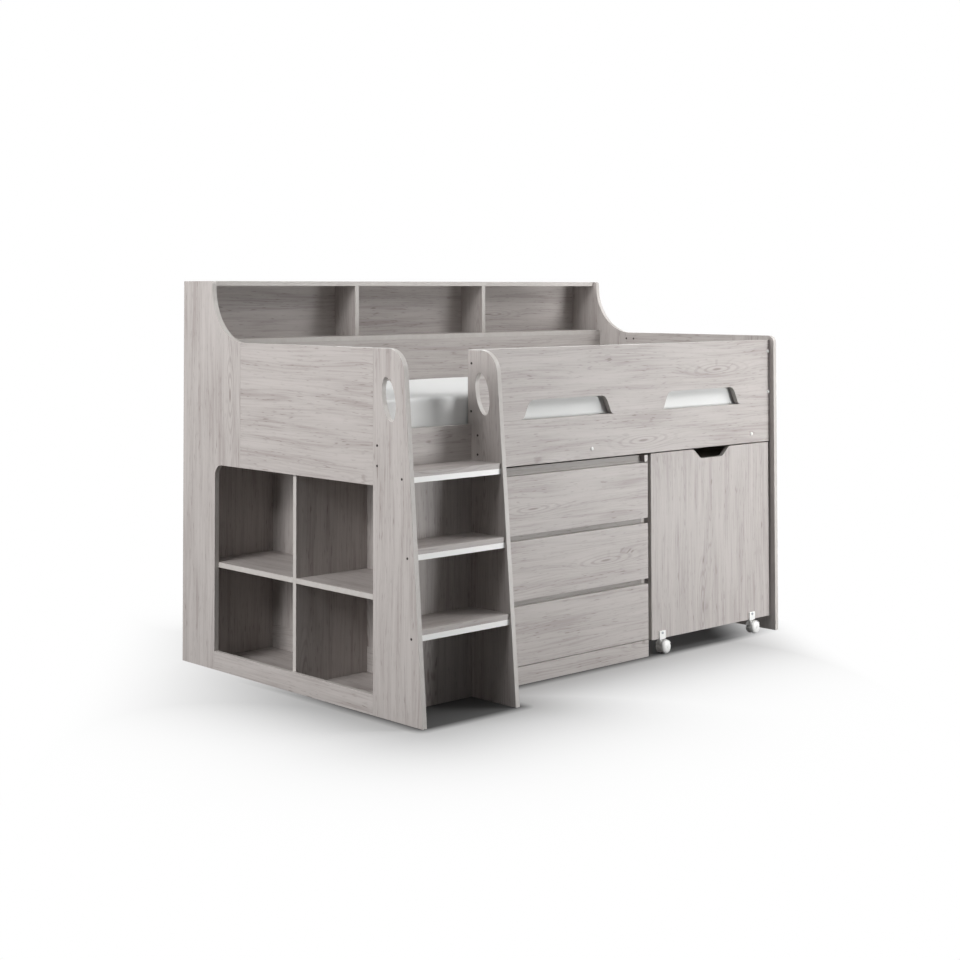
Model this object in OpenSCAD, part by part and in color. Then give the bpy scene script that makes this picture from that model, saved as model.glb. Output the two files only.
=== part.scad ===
// Mid sleeper bed with a bookcase along its back, end-facing cube storage, a leaning ladder,
// a chest of three drawers and a pull-out desk on castors.
// Every "depth" below is measured forwards from the back plane of the bed.

/* [Bed] */
// Length over the two end boards
bed_length = 2040; // [1960:5:2160]
// Depth from the back plane to the front face of the guards
front_depth = 1139; // [1080:1:1200]
// Thickness of every board
board = 18; // [15:1:20]
// Height of the underside of the side rails
bed_base = 752; // [740:1:800]
// Height of the side rails
rail_height = 156; // [130:1:190]
// Height of the upper guard board
guard_height = 249; // [200:1:262]

/* [Mattress and slats] */
// Height of the mattress
mattress_height = 158; // [120:1:190]
// Free space between the mattress and each end board
mattress_end_gap = 2; // [1:0.5:8]
// Free space between the mattress and each guard
mattress_side_gap = 6; // [2:0.5:12]
// Depth of the slats' top below the top of the side rails
slat_drop = 58; // [45:1:75]
// Width of one slat
slat_width = 70; // [50:1:90]
// Thickness of one slat
slat_thickness = 12; // [8:0.5:18]
// Number of slats
slat_count = 14; // [8:1:18]
// Side of the square bearer batten under the slat ends
bearer_size = 30; // [20:1:35]

/* [End boards] */
// Height of the end boards
end_height = 1173; // [1160:1:1240]
// Depth of the seam between back post and end panel
post_seam = 364; // [340:1:380]
// Width of the left back post's foot
post_foot = 207; // [180:1:240]
// Height of the top edge of the left end's opening
opening_height = 732; // [700:1:738]
// Height of the bottom rails of the ends
end_rail_height = 65; // [45:1:90]
// Radius in the upper back corner of the end opening
opening_radius = 40; // [20:1:60]
// Width of the right front post
right_post_width = 210; // [150:1:240]
// How far the right front post stands proud of the guards
right_post_proud = 21; // [5:1:35]
// Radius of the right front post's top corner
right_post_radius = 28; // [10:1:50]

/* [Bookcase] */
// Height of the bookcase's top
bookcase_height = 1393; // [1380:1:1440]
// Depth of the top board and the dividers' front edges
bookcase_depth = 168; // [140:1:180]
// Depth of the back posts at their top
post_top_depth = 186; // [182:1:200]
// Radius of the sweep from the post's top down to the end panel
sweep_radius = 200; // [190:1:210]
// Radius of the post's top front corner
post_top_radius = 12; // [4:1:18]
// Height of the top face of the bookcase's lower shelf
shelf_height = 1181; // [1176:1:1210]
// Depth of the shelf's front edge and of the rear guard's front face
shelf_depth = 208; // [200:1:230]
// Distance of the back panel from the back plane
back_inset = 20; // [5:1:40]

/* [Guards] */
// Distance of the left cut-out's middle from the upper guard's left end
cutout_left_inset = 450; // [400:1:500]
// Distance of the right cut-out's middle from the upper guard's right end
cutout_right_inset = 422; // [360:1:460]
// Half the width of a guard cut-out at its mouth
cutout_half_width = 238; // [180:1:260]
// Height of a guard cut-out
cutout_height = 68; // [52:1:90]

/* [Ladder] */
// Width over the two ladder sides
ladder_width = 418; // [380:1:440]
// Depth of the ladder sides' front edge at the floor
ladder_foot = 1352; // [1320:1:1400]
// Lean of the ladder's front edge in degrees
ladder_lean = 4.55; // [3:0.05:5]
// Radius of the ladder sides' top corner
ladder_top_radius = 80; // [50:1:90]
// Height of the top tread
tread_top_height = 788; // [780:1:800]
// Height of the middle tread
tread_middle_height = 548; // [520:1:570]
// Height of the bottom tread
tread_bottom_height = 300; // [260:1:320]
// How far the treads stay behind the ladder's front edge
tread_inset = 6; // [2:1:20]
// Depth of the white rail under each tread
tread_rail_depth = 60; // [45:1:90]
// Height of the white rail under each tread
tread_rail_height = 18; // [14:1:24]
// Length of the oval hand holes
hand_hole_length = 144; // [110:1:150]
// Width of the oval hand holes
hand_hole_width = 63; // [45:1:70]
// Distance of the hand holes' middle below the end boards' top
hand_hole_drop = 162; // [140:1:190]
// Tilt of the hand holes in degrees
hand_hole_tilt = 13; // [0:1:20]

/* [Cube storage] */
// Width of the cube unit from the bed's left face to its inner end
cube_width = 346; // [300:1:360]
// Depth of the inner face of the unit's rear side
cube_rear = 105; // [60:1:140]
// Depth of the divider's rear face
cube_divider_depth = 654; // [600:1:740]
// Height of the top face of the cube shelves
cube_shelf_height = 380; // [330:1:430]
// Height of the low rail at the unit's inner end
cube_inner_rail = 105; // [70:1:140]

/* [Chest of drawers] */
// Right side of the chest, from the bed's left face
chest_right = 1293; // [1250:1:1330]
// Gap between the ladder and the chest
chest_gap = 13; // [6:1:30]
// Depth of the chest's carcass
chest_depth = 432; // [400:1:480]
// How far the drawer fronts stay behind the guards' front face
chest_setback = 5; // [0:1:12]
// Height of one drawer front
drawer_front_height = 204; // [190:1:206]
// Height of the finger gap over the middle and bottom drawers
finger_gap = 20; // [16:1:24]
// Height of the chest's plinth
plinth_height = 62; // [50:1:66]
// Length of a drawer box
drawer_length = 400; // [340:1:402]
// Thickness of the drawer boxes' sides
drawer_side = 12; // [10:0.5:15]
// Thickness of the drawer bottoms and of the chest's back
thin_board = 4; // [3:0.5:6]
// Side room for one drawer runner
runner_room = 12.5; // [12:0.1:14]
// Height of a drawer runner
runner_height = 35; // [27:1:45]

/* [Desk] */
// Side room between the desk's front panel and its neighbours
desk_side_gap = 12; // [3:0.5:16]
// Height of the desk's underside above the floor
desk_clearance = 58; // [56:1:66]
// Gap between the desk's front panel and the side rail over it
desk_top_gap = 4; // [2:0.5:8]
// Height of the desktop's top face
desktop_height = 708; // [680:1:709]
// Depth of the desktop from its rear edge to the front panel
desktop_depth = 600; // [500:1:700]
// Half the width of the grip notch at its mouth
notch_half_width = 118; // [100:1:150]
// Depth of the grip notch
notch_depth = 37; // [30:1:40]
// Height of the aprons under the desktop
apron_height = 70; // [50:1:100]
// Side of the square cleats that carry the desktop
cleat_size = 25; // [18:1:30]

/* [Castors] */
// Diameter of a castor wheel
wheel_diameter = 48; // [40:1:50]
// Width of one castor wheel
wheel_width = 15; // [10:1:18]
// Distance of the left castor from the desk panel's left edge
castor_left_inset = 58; // [50:1:110]
// Distance of the right castor from the desk panel's right edge
castor_right_inset = 112; // [50:1:130]
// Trail of the wheels behind the swivel pin
castor_trail = 16; // [10:1:18]

/* [Hidden] */

// Colours of the finishes
oak = "#c4bfbb";
oak_pale = "#d2cecb";
white_plastic = "#e8e8e6";
cloth_white = "#e4e5e5";
pine = "#d9c6a0";
steel = "#a9adb0";

// Running gap between pieces that move past each other
play = 0.3;
// Smoothness of the large and of the small round shapes
smooth = 96;
smooth_small = 48;
// A cut runs this far past the face that it opens
past = 1;

// Places that several pieces share
inner_left = board;
inner_right = bed_length - board;
inner_length = inner_right - inner_left;
guard_back = front_depth - board;
rail_top = bed_base + rail_height;
guard_top = rail_top + guard_height;
slat_top = rail_top - slat_drop;
rear_face = shelf_depth;
rear_back = rear_face - board;
back_panel_front = back_inset + board;
bay_width = (inner_length - 2 * board) / 3;
right_post_front = front_depth + right_post_proud;
right_post_back = right_post_front - right_post_width;
ladder_inner_right = ladder_width - board;
// The left ladder side is part of the end, so its back edge stands back of the guards' inner face
ladder_left_lap = 13;
ladder_left_back = guard_back - ladder_left_lap;
hand_hole_height = end_height - hand_hole_drop;
cutout_places = [ladder_width + cutout_left_inset, inner_right - cutout_right_inset];

// Chest: fronts, carcass front and the heights of the three drawers
drawer_face = front_depth - chest_setback;
carcass_front = drawer_face - board;
chest_left = ladder_width + chest_gap;
carcass_back = carcass_front - chest_depth;
drawer_step = drawer_front_height + finger_gap;
front_lift = 2.5;
drawer_zero = plinth_height + front_lift;
chest_top_height = bed_base - 7;
drawer_box_height = 140;
drawer_box_lift = 18;
box_left = chest_left + board + runner_room;
box_right = chest_right - board - runner_room;

// Desk: bay between the chest and the right end
desk_middle = (chest_right + inner_right) / 2;
desk_left = chest_right + desk_side_gap;
desk_right = inner_right - desk_side_gap;
desk_front_top = bed_base - desk_top_gap;
desktop_side_gap = 4;
desktop_left = chest_right + desktop_side_gap;
desktop_right = inner_right - desktop_side_gap;
desktop_back = guard_back - desktop_depth;
desktop_under = desktop_height - board;

// Castors under the desk's front panel
wheel_radius = wheel_diameter / 2;
bracket_plate = 3;
hub_width = 12;
wheel_gap = 1;
axle_radius = 3;
pin_radius = 4;
running_clearance = 0.05;
castor_depth = guard_back + board / 2;

// Puts the finished pieces round the origin, on the floor under the middle of the bed
module in_place() {
    translate([-bed_length / 2, ladder_foot / 2, 0]) children();
}

// A board between two lengths x, two depths d and two heights z
module slab(x, d, z) {
    translate([x[0], -d[1], z[0]]) cube([x[1] - x[0], d[1] - d[0], z[1] - z[0]]);
}

// An outline drawn as depth and height, cut from a board whose right face is at x_right
module upright(x_right, thickness = board) {
    translate([x_right, 0, 0]) rotate([90, 0, -90]) linear_extrude(thickness) children();
}

// An outline drawn as length and height, cut from a board whose back face is at d_back
module facing(d_back, thickness = board) {
    translate([0, -d_back, 0]) rotate([90, 0, 0]) linear_extrude(thickness) children();
}

// What a corner loses when it is rounded, for a corner that points to +x and +y
module corner_waste(radius) {
    difference() {
        square(radius + past);
        circle(radius, $fn = smooth);
    }
}

// Direction of a point under a circle's middle
downwards = 270;

// Points of an arc from angle a to angle b
function arc(middle, radius, a, b, steps = 6) = [
    for (i = [0:steps]) let (t = a + (b - a) * i / steps)
        middle + radius * [cos(t), sin(t)]
];

// Outline of a scoop with S-curved sides, open at y = 0 and reaching up to y = height
function scoop_side(half_width, height, r_mouth, r_floor, slope) = let (
    mouth_x = half_width - r_mouth * sin(slope),
    rise = height - (r_mouth + r_floor) * (1 - cos(slope)),
    floor_x = mouth_x - rise / tan(slope) - r_floor * sin(slope)
) concat(
    arc([half_width, r_mouth], r_mouth, downwards, downwards - slope),
    arc([floor_x, height - r_floor], r_floor, 90 - slope, 90)
);

module scoop(half_width, height, r_mouth, r_floor, slope) {
    side = scoop_side(half_width, height, r_mouth, r_floor, slope);
    other = [for (i = [len(side) - 1:-1:0]) [-side[i].x, side[i].y]];
    polygon(concat([[half_width, -past]], side, other, [[-half_width, -past]]));
}

// Outline of a back post, swept down from the bookcase's top to the end panel
module post_outline() {
    sweep_middle = post_top_depth + sweep_radius;
    sweep_drop = sqrt(pow(sweep_radius, 2) - pow(sweep_middle - post_seam, 2));
    sweep_height = end_height + sweep_drop;
    difference() {
        square([post_seam, bookcase_height]);
        translate([sweep_middle, sweep_height]) circle(sweep_radius, $fn = 2 * smooth);
        translate([post_top_depth, sweep_height]) square([post_seam, bookcase_height]);
        translate([post_top_depth - post_top_radius, bookcase_height - post_top_radius])
            corner_waste(post_top_radius);
    }
}

// What the left end's opening takes from its post, with a round upper back corner
module opening_waste() {
    translate([post_foot, -past]) square([post_seam, opening_height + past - opening_radius]);
    translate([post_foot + opening_radius, 0]) square([post_seam, opening_height]);
    translate([post_foot + opening_radius, opening_height - opening_radius])
        circle(opening_radius, $fn = smooth);
}

module left_back_post() {
    color(oak) in_place() upright(board) difference() {
        post_outline();
        opening_waste();
    }
}

module right_back_post() {
    color(oak) in_place() upright(bed_length) post_outline();
}

module left_end_panel() {
    color(oak) in_place() slab([0, board], [post_seam, ladder_left_back], [opening_height, end_height]);
}

module right_end_panel() {
    color(oak) in_place()
        slab([inner_right, bed_length], [post_seam, right_post_back], [end_rail_height, end_height]);
}

module left_bottom_rail() {
    color(oak) in_place() slab([0, board], [post_foot, ladder_left_back], [0, end_rail_height]);
}

module right_bottom_rail() {
    color(oak) in_place()
        slab([inner_right, bed_length], [post_seam, right_post_back], [0, end_rail_height]);
}

module right_front_post() {
    color(oak) in_place() upright(bed_length) difference() {
        translate([right_post_back, 0]) square([right_post_width, end_height]);
        translate([right_post_front - right_post_radius, end_height - right_post_radius])
            corner_waste(right_post_radius);
    }
}

// Depth of the ladder's front edge at a height
function ladder_front(height) = ladder_foot - height * tan(ladder_lean);

// Outline of a ladder side: leaning front edge, rounded top corner and an oval hand hole
module ladder_outline(back, top) {
    centre_height = top - ladder_top_radius;
    centre_depth = ladder_front(centre_height) - ladder_top_radius / cos(ladder_lean);
    centre = [centre_depth, centre_height];
    tangent = centre + ladder_top_radius * [cos(ladder_lean), sin(ladder_lean)];
    hole_depth = (back + ladder_front(hand_hole_height)) / 2 - 3;
    difference() {
        union() {
            polygon([[back, 0], [ladder_foot, 0], tangent, centre, [centre.x, top], [back, top]]);
            intersection() {
                translate(centre) circle(ladder_top_radius, $fn = smooth);
                translate(centre) square(ladder_top_radius);
            }
        }
        translate([hole_depth, hand_hole_height]) rotate(hand_hole_tilt) hand_hole();
    }
}

// The hand hole is an oval with two long flat arcs and two small round ends
module hand_hole() {
    a = hand_hole_length / 2;
    b = hand_hole_width / 2;
    polygon([for (i = [0:35]) [b * cos(i * 10), a * sin(i * 10)]]);
}

module ladder_left_side() {
    color(oak) in_place() upright(board) ladder_outline(ladder_left_back, end_height);
}

module ladder_right_side() {
    color(oak) in_place() upright(ladder_width) ladder_outline(guard_back, guard_top);
}

tread_heights = [tread_top_height, tread_middle_height, tread_bottom_height];

// Depth of a tread's front edge
function tread_front(height) = ladder_front(height) - tread_inset;

module ladder_treads() {
    color(oak_pale) in_place() for (h = tread_heights)
        slab([board, ladder_inner_right], [front_depth, tread_front(h)], [h - board, h]);
}

module tread_rails() {
    color(white_plastic) in_place() for (h = tread_heights) let (under = h - board)
        slab([board, ladder_inner_right], [tread_front(h) - tread_rail_depth, tread_front(h)],
            [under - tread_rail_height, under]);
}

module short_front_rail() {
    color(oak) in_place()
        slab([board, ladder_inner_right], [guard_back, front_depth], [bed_base, rail_top]);
}

module ladder_back_wall() {
    color(oak) in_place() slab([board, ladder_inner_right], [guard_back, front_depth], [0, bed_base]);
}

module bookcase_top() {
    color(oak_pale) in_place()
        slab([inner_left, inner_right], [0, bookcase_depth], [bookcase_height - board, bookcase_height]);
}

module bookcase_shelf() {
    color(oak_pale) in_place()
        slab([inner_left, inner_right], [back_panel_front, shelf_depth],
            [shelf_height - board, shelf_height]);
}

module bookcase_back() {
    color(oak) in_place()
        slab([inner_left, inner_right], [back_inset, back_panel_front],
            [shelf_height - 2 * board, bookcase_height - board]);
}

module bookcase_dividers() {
    color(oak) in_place() for (i = [1, 2]) let (x = inner_left + i * bay_width + (i - 1) * board)
        slab([x, x + board], [back_panel_front, bookcase_depth], [shelf_height, bookcase_height - board]);
}

module rear_guard_panel() {
    color(oak) in_place()
        slab([inner_left, inner_right], [rear_back, rear_face], [rail_top, shelf_height - board]);
}

module rear_side_rail() {
    color(oak) in_place() slab([inner_left, inner_right], [rear_back, rear_face], [bed_base, rail_top]);
}

module lower_guard() {
    color(oak) in_place()
        slab([ladder_width, inner_right], [guard_back, front_depth], [bed_base, rail_top]);
}

// Radii and slope of the S-curved sides of the guard cut-outs
cutout_mouth_radius = 22;
cutout_floor_radius = 34;
cutout_slope = 65;

module upper_guard() {
    color(oak) in_place() facing(guard_back) difference() {
        translate([ladder_width, rail_top]) square([inner_right - ladder_width, guard_height]);
        for (x = cutout_places) translate([x, rail_top])
            scoop(cutout_half_width, cutout_height, cutout_mouth_radius, cutout_floor_radius, cutout_slope);
    }
}

module slat_bearers() {
    under = slat_top - slat_thickness;
    color(pine) in_place() {
        slab([inner_left, inner_right], [rear_face, rear_face + bearer_size], [under - bearer_size, under]);
        slab([inner_left, inner_right], [guard_back - bearer_size, guard_back],
            [under - bearer_size, under]);
    }
}

// Space between a slat's end and the rail beside it
slat_end_gap = 1;

module bed_slats() {
    pitch = (inner_length - slat_width - 2 * slat_end_gap) / (slat_count - 1);
    color(pine) in_place() for (i = [0:slat_count - 1]) let (x = inner_left + slat_end_gap + i * pitch)
        slab([x, x + slat_width], [rear_face + slat_end_gap, guard_back - slat_end_gap],
            [slat_top - slat_thickness, slat_top]);
}

// Mattress: a soft block with rounded edges, drawn-in sides and a crowned top
mattress_edge = 26;
mattress_corner = 45;
mattress_draw = 4;
mattress_crown = 7;
mattress_side_steps = 9;
mattress_corner_steps = 5;

// Pull of the sides towards the middle, none at the corners
function drawn(s) = mattress_draw * (1 - s * s);

// One ring of the mattress: a rounded rectangle, inset by an amount
function mattress_ring(half_x, half_y, inset, height) = let (
    hx = half_x - inset,
    hy = half_y - inset,
    r = max(mattress_corner - inset / 2, 6)
) [
    for (quarter = [0:3]) let (
        sx = quarter == 0 || quarter == 3 ? 1 : -1,
        sy = quarter < 2 ? 1 : -1
    ) each concat(
        [for (i = [0:mattress_corner_steps]) let (t = quarter * 90 + 90 * i / mattress_corner_steps)
            [sx * (hx - r) + r * cos(t), sy * (hy - r) + r * sin(t), height]],
        [for (i = [1:mattress_side_steps]) let (
            s = 1 - 2 * i / (mattress_side_steps + 1),
            along_x = quarter % 2 == 0
        ) along_x ? [sx * s * (hx - r), sy * (hy - drawn(s)), height]
                  : [sx * (hx - drawn(s)), sy * s * (hy - r), height]]
    )
];

module mattress() {
    half_x = inner_length / 2 - mattress_end_gap;
    half_y = (guard_back - rear_face) / 2 - mattress_side_gap;
    foot = slat_top;
    shoulder = mattress_height - mattress_crown;
    edge = mattress_edge;
    // Inset and height of each ring, from the flat underside to the crowned top
    profile = concat(
        [[edge * 0.5, 0], [edge * 0.13, edge * 0.13], [0, edge * 0.5], [2, shoulder / 2]],
        [for (t = [0:22.5:90]) [edge * (1 - cos(t)), shoulder - edge + edge * sin(t)]],
        [for (k = [0.2, 0.45, 0.7, 0.92])
            [edge + k * (half_y - edge), shoulder + mattress_crown * sin(90 * k)]]
    );
    rings = [for (p = profile) mattress_ring(half_x, half_y, p[0], foot + p[1])];
    count = len(rings[0]);
    points = [for (ring = rings) each ring];
    last = (len(rings) - 1) * count;
    faces = concat(
        [for (k = [0:len(rings) - 2], i = [0:count - 1]) let (j = (i + 1) % count)
            [k * count + i, (k + 1) * count + i, (k + 1) * count + j]],
        [for (k = [0:len(rings) - 2], i = [0:count - 1]) let (j = (i + 1) % count)
            [k * count + i, (k + 1) * count + j, k * count + j]],
        [[for (i = [0:count - 1]) i]],
        [[for (i = [count - 1:-1:0]) last + i]]
    );
    color(cloth_white) in_place() translate([bed_length / 2, -(guard_back + rear_face) / 2, 0])
        polyhedron(points = points, faces = faces);
}

// Cube storage at the left end, open outwards
cube_inner = cube_width - board;
cube_front = guard_back;

module cube_rear_side() {
    color(oak) in_place() slab([board, cube_width], [cube_rear - board, cube_rear], [0, opening_height]);
}

module cube_inner_end() {
    color(oak) in_place()
        slab([cube_inner, cube_width], [cube_rear, cube_front], [cube_inner_rail, opening_height]);
}

module cube_inner_rail_board() {
    color(oak) in_place() slab([cube_inner, cube_width], [cube_rear, cube_front], [0, cube_inner_rail]);
}

module cube_divider() {
    color(oak) in_place()
        slab([board, cube_inner], [cube_divider_depth, cube_divider_depth + board],
            [board, opening_height]);
}

module cube_shelves() {
    low = cube_shelf_height - board;
    color(oak_pale) in_place() {
        slab([board, cube_inner], [cube_rear, cube_divider_depth], [low, cube_shelf_height]);
        slab([board, cube_inner], [cube_divider_depth + board, cube_front], [low, cube_shelf_height]);
    }
}

module cube_base() {
    color(oak_pale) in_place() slab([board, cube_inner], [cube_rear, cube_front], [0, board]);
}

module cube_top() {
    color(oak_pale) in_place()
        slab([board, cube_width], [cube_rear - board, cube_front],
            [opening_height, opening_height + board]);
}

// Chest of drawers, its sides with noses that reach the drawer fronts' face over the top drawer
nose_gap = 3;

module chest_sides() {
    nose_low = drawer_base(2) + drawer_front_height + nose_gap;
    color(oak) in_place() for (x = [chest_left + board, chest_right]) upright(x) {
        translate([carcass_back, 0]) square([chest_depth, chest_top_height]);
        translate([carcass_front - past, nose_low]) square([drawer_face - carcass_front + past,
            chest_top_height - nose_low]);
    }
}

module chest_back() {
    color(oak) in_place() slab([chest_left, chest_right], [carcass_back - thin_board, carcass_back],
        [plinth_height, chest_top_height]);
}

module chest_top() {
    color(oak_pale) in_place()
        slab([chest_left + board, chest_right - board], [carcass_back, carcass_front],
            [chest_top_height - board, chest_top_height]);
}

// Height of a drawer front's lower edge, counted from the bottom drawer
function drawer_base(i) = drawer_zero + i * drawer_step;
// Height of a drawer box's lower edge
function box_base(i) = drawer_base(i) + drawer_box_lift;
// Lower edges and heights of the rails over each drawer box
rail_low_gap = 6;

module chest_rails() {
    color(oak) in_place() for (i = [0:2]) let (
        low = box_base(i) + drawer_box_height + rail_low_gap,
        high = i == 2 ? chest_top_height - board : box_base(i + 1) - rail_low_gap
    ) slab([chest_left + board, chest_right - board], [carcass_front - board, carcass_front], [low, high]);
}

module chest_plinth() {
    color(oak) in_place() slab([chest_left, chest_right], [carcass_front, drawer_face], [0, plinth_height]);
}

// Drawer runners: a steel channel on each chest side, a bar on each drawer side that runs in it
runner_wall = 1.2;
runner_lift = 20;
runner_front_gap = 22;

module runner_channel(outer, direction, low) {
    reach = runner_room - 1.5;
    web = outer + direction * runner_wall;
    lip = outer + direction * reach;
    back = carcass_back + 2;
    front = carcass_front - runner_front_gap;
    span = [min(outer, web), max(outer, web)];
    flange = [min(web, lip), max(web, lip)];
    slab(span, [back, front], [low, low + runner_height]);
    slab(flange, [back, front], [low, low + runner_wall]);
    slab(flange, [back, front], [low + runner_height - runner_wall, low + runner_height]);
}

module chest_runners() {
    color(steel) in_place() for (i = [0:2]) let (low = box_base(i) + runner_lift) {
        runner_channel(chest_left + board, 1, low);
        runner_channel(chest_right - board, -1, low);
    }
}

module drawer_slides(i) {
    low = box_base(i) + runner_lift + runner_wall + play;
    high = box_base(i) + runner_lift + runner_height - runner_wall - play;
    reach = runner_room - runner_wall - play;
    back = carcass_front - drawer_length;
    front = carcass_front - runner_front_gap;
    color(steel) in_place() {
        slab([box_left - reach, box_left], [back, front], [low, high]);
        slab([box_right, box_right + reach], [back, front], [low, high]);
    }
}

module drawer_front(i) {
    color(oak) in_place() slab([chest_left, chest_right], [carcass_front + play, drawer_face],
        [drawer_base(i), drawer_base(i) + drawer_front_height]);
}

// Box of a drawer: two sides and a back, open in front where the drawer front closes it
bottom_groove = 10;

module drawer_box(i) {
    back = carcass_front - drawer_length;
    low = box_base(i);
    high = low + drawer_box_height;
    color(oak_pale) in_place() {
        slab([box_left, box_left + drawer_side], [back, carcass_front + play], [low, high]);
        slab([box_right - drawer_side, box_right], [back, carcass_front + play], [low, high]);
        slab([box_left + drawer_side, box_right - drawer_side], [back, back + drawer_side], [low, high]);
    }
}

module drawer_bottom(i) {
    low = box_base(i) + bottom_groove;
    color(oak) in_place() slab([box_left + drawer_side, box_right - drawer_side],
        [carcass_front - drawer_length + drawer_side, carcass_front + play], [low, low + thin_board]);
}

// Pull-out desk
module desk_top() {
    color(oak_pale) in_place()
        slab([desktop_left, desktop_right], [desktop_back, guard_back], [desktop_under, desktop_height]);
}

// Radii and slope of the S-curved sides of the grip notch
notch_mouth_radius = 30;
notch_floor_radius = 30;
notch_slope = 42;
// Hole in the panel's lower edge that takes the end of a castor's pin
pin_hole_radius = 4.5;
pin_hole_depth = 24;

module desk_front() {
    color(oak) in_place() difference() {
        facing(guard_back) difference() {
            translate([desk_left, desk_clearance])
                square([desk_right - desk_left, desk_front_top - desk_clearance]);
            translate([desk_middle, desk_front_top]) mirror([0, 1]) scoop(notch_half_width, notch_depth,
                notch_mouth_radius, notch_floor_radius, notch_slope);
        }
        for (x = castor_places) translate([x, -castor_depth, desk_clearance - past])
            cylinder(r = pin_hole_radius, h = pin_hole_depth + past, $fn = smooth_small);
    }
}

// Aprons under the desktop, inside the cleats that carry it
apron_inset = cleat_size + 6;

module desk_aprons() {
    low = desktop_under - apron_height;
    left = desktop_left + apron_inset;
    right = desktop_right - apron_inset;
    color(oak) in_place() {
        slab([left, left + board], [desktop_back + board, guard_back], [low, desktop_under]);
        slab([right - board, right], [desktop_back + board, guard_back], [low, desktop_under]);
        slab([left, right], [desktop_back, desktop_back + board], [low, desktop_under]);
    }
}

// The two cleats end short of the desk's front panel
cleat_front_gap = 17;

module desk_cleats() {
    under = desktop_under - play;
    front = guard_back - cleat_front_gap;
    color(oak) in_place() {
        slab([chest_right, chest_right + cleat_size], [carcass_back, front], [under - cleat_size, under]);
        slab([inner_right - cleat_size, inner_right], [carcass_back, front], [under - cleat_size, under]);
    }
}

castor_places = [desk_left + castor_left_inset, desk_right - castor_right_inset];

// White bracket: a plate under the panel's edge with a tab that is screwed to the panel's face
bracket_width = 34;
bracket_tab_height = 28;

module castor_brackets() {
    color(white_plastic) in_place() for (x = castor_places) difference() {
        union() {
            slab([x - bracket_width / 2, x + bracket_width / 2], [guard_back, front_depth + bracket_plate],
                [desk_clearance - bracket_plate, desk_clearance]);
            slab([x - bracket_width / 2, x + bracket_width / 2], [front_depth, front_depth + bracket_plate],
                [desk_clearance, desk_clearance + bracket_tab_height]);
        }
        translate([x, -castor_depth, desk_clearance - bracket_plate - past])
            cylinder(r = pin_radius + running_clearance, h = bracket_plate + 2 * past, $fn = smooth_small);
    }
}

// Fork of a twin-wheel castor at rest: its axle points forwards and its wheels trail to the right
hood_wall = 2;
hood_gap = 1;
hood_floor = 12;
hood_reach = 10;
pin_reach = 18;
axle_end = 1.5;
collar_radius = 6.5;
collar_drop = 14;

// Puts a castor's axle parts on its axle, with +z pointing forwards
module on_axle(x) {
    translate([x + castor_trail, -castor_depth, wheel_radius]) rotate([90, 0, 0]) children();
}

// Hood over the inner part of both wheels
module castor_hood() {
    web_half = hub_width / 2;
    half = web_half + hood_reach;
    radius = wheel_radius + hood_gap + hood_wall;
    difference() {
        translate([0, 0, -half]) cylinder(r = radius, h = 2 * half, $fn = smooth);
        for (low = [-half - past, web_half]) translate([0, 0, low])
            cylinder(r = radius - hood_wall, h = hood_reach + past, $fn = smooth);
        translate([-radius - past, hood_floor - 2 * radius, -half - past])
            cube([2 * (radius + past), 2 * radius, 2 * (half + past)]);
    }
}

module castor_fork(x) {
    axle_half = hub_width / 2 + wheel_gap + wheel_width + axle_end;
    collar_base = wheel_radius + collar_drop;
    color(white_plastic) in_place() {
        translate([x, -castor_depth, wheel_radius])
            cylinder(r = pin_radius, h = desk_clearance + pin_reach - wheel_radius, $fn = smooth_small);
        translate([x, -castor_depth, collar_base])
            cylinder(r = collar_radius, h = desk_clearance - bracket_plate - play - collar_base,
                $fn = smooth_small);
        on_axle(x) {
            translate([0, 0, -hub_width / 2]) cylinder(r = wheel_radius - 2, h = hub_width, $fn = smooth);
            translate([0, 0, -axle_half]) cylinder(r = axle_radius, h = 2 * axle_half, $fn = smooth_small);
            castor_hood();
        }
    }
}

// A wheel with a domed outer face, turned about its axle
dome_depth = 9;
dome_flat = 7;
wheel_chamfer = 1;

module castor_wheel() {
    bore = axle_radius + running_clearance;
    reach = wheel_radius - dome_flat;
    rotate_extrude($fn = smooth) polygon(concat(
        [[bore, 0], [wheel_radius - wheel_chamfer, 0], [wheel_radius, wheel_chamfer]],
        [for (t = [0:15:90]) [dome_flat + reach * cos(t), wheel_width - dome_depth + dome_depth * sin(t)]],
        [[bore, wheel_width]]
    ));
}

module castor_wheels(x) {
    inner = hub_width / 2 + wheel_gap;
    color(white_plastic) in_place() on_axle(x) for (turn = [0, 180])
        rotate([turn, 0, 0]) translate([0, 0, inner]) castor_wheel();
}

// Domed screw caps on the guards' front faces, seated on the boards
cap_radius = 7;
cap_height = 4;
cap_rim = 1.5;
guard_cap_height = bed_base + 35;
guard_caps = [
    [cutout_places[0] + cutout_half_width / 2, guard_cap_height],
    [inner_right - 118, guard_cap_height],
    [inner_right - board / 2, rail_top + 42],
    [inner_right - board / 2, guard_top - 46]
];

module screw_caps() {
    color(white_plastic) in_place() for (p = guard_caps)
        translate([p.x, -front_depth, p.y]) rotate([90, 0, 0]) rotate_extrude($fn = smooth_small)
            polygon(concat([[0, 0], [cap_radius, 0]],
                [for (t = [0:15:90]) [cap_radius * cos(t), cap_rim + (cap_height - cap_rim) * sin(t)]]));
}

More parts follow.
